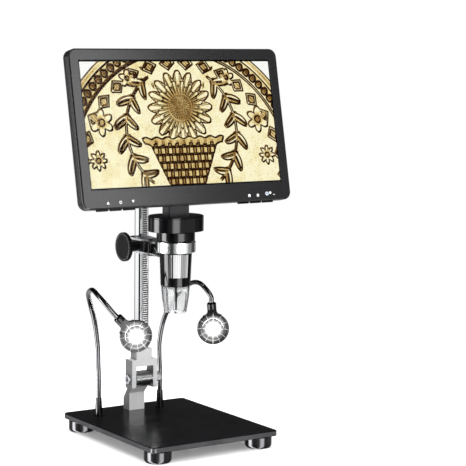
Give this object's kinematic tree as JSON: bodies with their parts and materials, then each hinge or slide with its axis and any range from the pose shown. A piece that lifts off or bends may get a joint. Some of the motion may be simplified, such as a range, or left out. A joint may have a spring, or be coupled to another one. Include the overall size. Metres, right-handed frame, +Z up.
{
  "type": "lcd digital microscope",
  "caption": "Desktop digital microscope: a tilting display and a camera tube ride a geared carriage on a folding column above a black base plate with gooseneck lamps.",
  "frame": {"origin": "on the floor, under the middle of the base plate", "axes": "+Z up along the column, the screen faces -Y, +X to the right of the front view"},
  "size_m": [0.247, 0.185, 0.404],
  "materials": {
    "black_plate": "glossy black lacquer",
    "foot_rubber": "glossy black",
    "satin_aluminium": "satin",
    "steel_screws": "satin",
    "black_screws": "black oxide",
    "polished": "polished",
    "black_body": "glossy black",
    "black_anodised": "black anodised",
    "dark_housing": "satin dark grey",
    "clear_plastic": "clear",
    "cover_glass": "clear, glossy",
    "display": "lit display",
    "circuit_board": "green solder mask",
    "battery_wrap": "foil wrap",
    "optical_glass": "clear, polished",
    "led_white": "white light source",
    "light_pipe": "blue, lit",
    "black_chrome": "dark chrome, ribbed"
  },
  "bodies": {
    "base": {"base_plate": "black_plate", "feet": "foot_rubber", "foot_screws": "steel_screws", "foot_post": "satin_aluminium", "post_screws": "steel_screws", "neck_collars": "black_anodised"},
    "column": {"clevis": "satin_aluminium", "pivot_bolt": "steel_screws", "pivot_nut": "polished", "column": "polished", "rack": "steel_screws", "column_cap": "black_body"},
    "carriage": {"carriage_sleeve": "satin_aluminium", "carriage_body": "black_anodised", "pinion_bush": "black_anodised", "arm_plates": "satin_aluminium", "arm_spacers": "black_anodised", "carriage_screws": "black_screws", "clamp_ring": "polished", "barrel": "black_body", "barrel_window": "polished", "head_shell": "black_body", "head_cap": "black_body", "image_sensor": "circuit_board", "clear_tip": "clear_plastic", "lens_nozzle": "black_anodised", "led_ring": "circuit_board", "stem": "black_anodised"},
    "knob": {"pinion": "steel_screws", "focus_knob": "black_body"},
    "focus_ring": {"focus_ring": "black_body"},
    "lens_cell": {"lens_cell": "black_anodised", "cell_lenses": "optical_glass"},
    "screen": {"screen_bracket": "steel_screws", "hinge_pin": "polished", "screen_screws": "steel_screws", "screen_bezel": "dark_housing", "screen_glass": "cover_glass", "lcd_panel": "display", "main_board": "circuit_board", "battery": "battery_wrap", "screen_back": "dark_housing", "button_boards": "circuit_board", "port_sockets": "steel_screws", "indicator_lens": "light_pipe"},
    "neck_left": {"neck_left": "black_chrome"},
    "neck_right": {"neck_right": "black_chrome"},
    "lamp_left": {"lamp_shell_left": "black_chrome", "lamp_led_left": "led_white", "lamp_lens_left": "clear_plastic"},
    "lamp_right": {"lamp_shell_right": "black_chrome", "lamp_led_right": "led_white", "lamp_lens_right": "clear_plastic"},
    "button_up": {"button_up": "black_body"},
    "button_ok": {"button_ok": "black_body"},
    "button_down": {"button_down": "black_body"},
    "button_home": {"button_home": "black_body"},
    "button_menu": {"button_menu": "black_body"},
    "button_power": {"button_power": "black_body"}
  },
  "joints": [
    {"name": "column_tilt", "type": "hinge", "parent": "base", "child": "column", "pos_m": [0, 0.056, 0.054], "axis": [1, 0, 0], "range_deg": [-20, 8]},
    {"name": "carriage_slide", "type": "slide", "parent": "column", "child": "carriage", "axis": [0, 0, 1], "range_m": [-0.09, 0.08]},
    {"name": "knob_turn", "type": "hinge", "parent": "carriage", "child": "knob", "pos_m": [0, 0.0453, 0.1977], "axis": [1, 0, 0], "range_deg": [-1240, 1390]},
    {"name": "focus_turn", "type": "hinge", "parent": "carriage", "child": "focus_ring", "pos_m": [0, -0.0115, 0.214], "axis": [0, 0, 1], "range_deg": [-150, 150]},
    {"name": "lens_travel", "type": "slide", "parent": "carriage", "child": "lens_cell", "axis": [0, 0, 1], "range_m": [-0.0026, 0.0026]},
    {"name": "screen_tilt", "type": "hinge", "parent": "carriage", "child": "screen", "pos_m": [0, -0.0111, 0.26], "axis": [1, 0, 0], "range_deg": [-15, 20]},
    {"name": "button_up_press", "type": "slide", "parent": "screen", "child": "button_up", "axis": [0, 0.2067, 0.9784], "range_m": [0, 0.0008], "stiffness_N_per_m": 300},
    {"name": "button_ok_press", "type": "slide", "parent": "screen", "child": "button_ok", "axis": [0, 0.2067, 0.9784], "range_m": [0, 0.0008], "stiffness_N_per_m": 300},
    {"name": "button_down_press", "type": "slide", "parent": "screen", "child": "button_down", "axis": [0, 0.2067, 0.9784], "range_m": [0, 0.0008], "stiffness_N_per_m": 300},
    {"name": "button_home_press", "type": "slide", "parent": "screen", "child": "button_home", "axis": [0, 0.2067, 0.9784], "range_m": [0, 0.0008], "stiffness_N_per_m": 300},
    {"name": "button_menu_press", "type": "slide", "parent": "screen", "child": "button_menu", "axis": [0, 0.2067, 0.9784], "range_m": [0, 0.0008], "stiffness_N_per_m": 300},
    {"name": "button_power_press", "type": "slide", "parent": "screen", "child": "button_power", "axis": [0, 0.2067, 0.9784], "range_m": [0, 0.0008], "stiffness_N_per_m": 300},
    {"name": "neck_left_swing", "type": "hinge", "parent": "base", "child": "neck_left", "pos_m": [-0.049, 0.0612, 0.036], "axis": [0, 0, 1], "range_deg": [-70, 6]},
    {"name": "neck_right_swing", "type": "hinge", "parent": "base", "child": "neck_right", "pos_m": [0.028, 0.0642, 0.036], "axis": [0, 0, 1], "range_deg": [-3, 70]},
    {"name": "lamp_left_twist", "type": "hinge", "parent": "neck_left", "child": "lamp_left", "pos_m": [-0.06758, -0.01493, 0.13292], "axis": [-0.6699, 0.1904, 0.7176], "range_deg": [-30, 30]},
    {"name": "lamp_right_twist", "type": "hinge", "parent": "neck_right", "child": "lamp_right", "pos_m": [0.04246, -0.01484, 0.13785], "axis": [-0.1059, -0.0349, 0.9938], "range_deg": [-30, 30]}
  ],
  "couplings": [
    {"joint": "knob_turn", "follows": "carriage_slide", "rad_per_m": -266.67},
    {"joint": "focus_turn", "follows": "lens_travel", "rad_per_m": 1000}
  ]
}
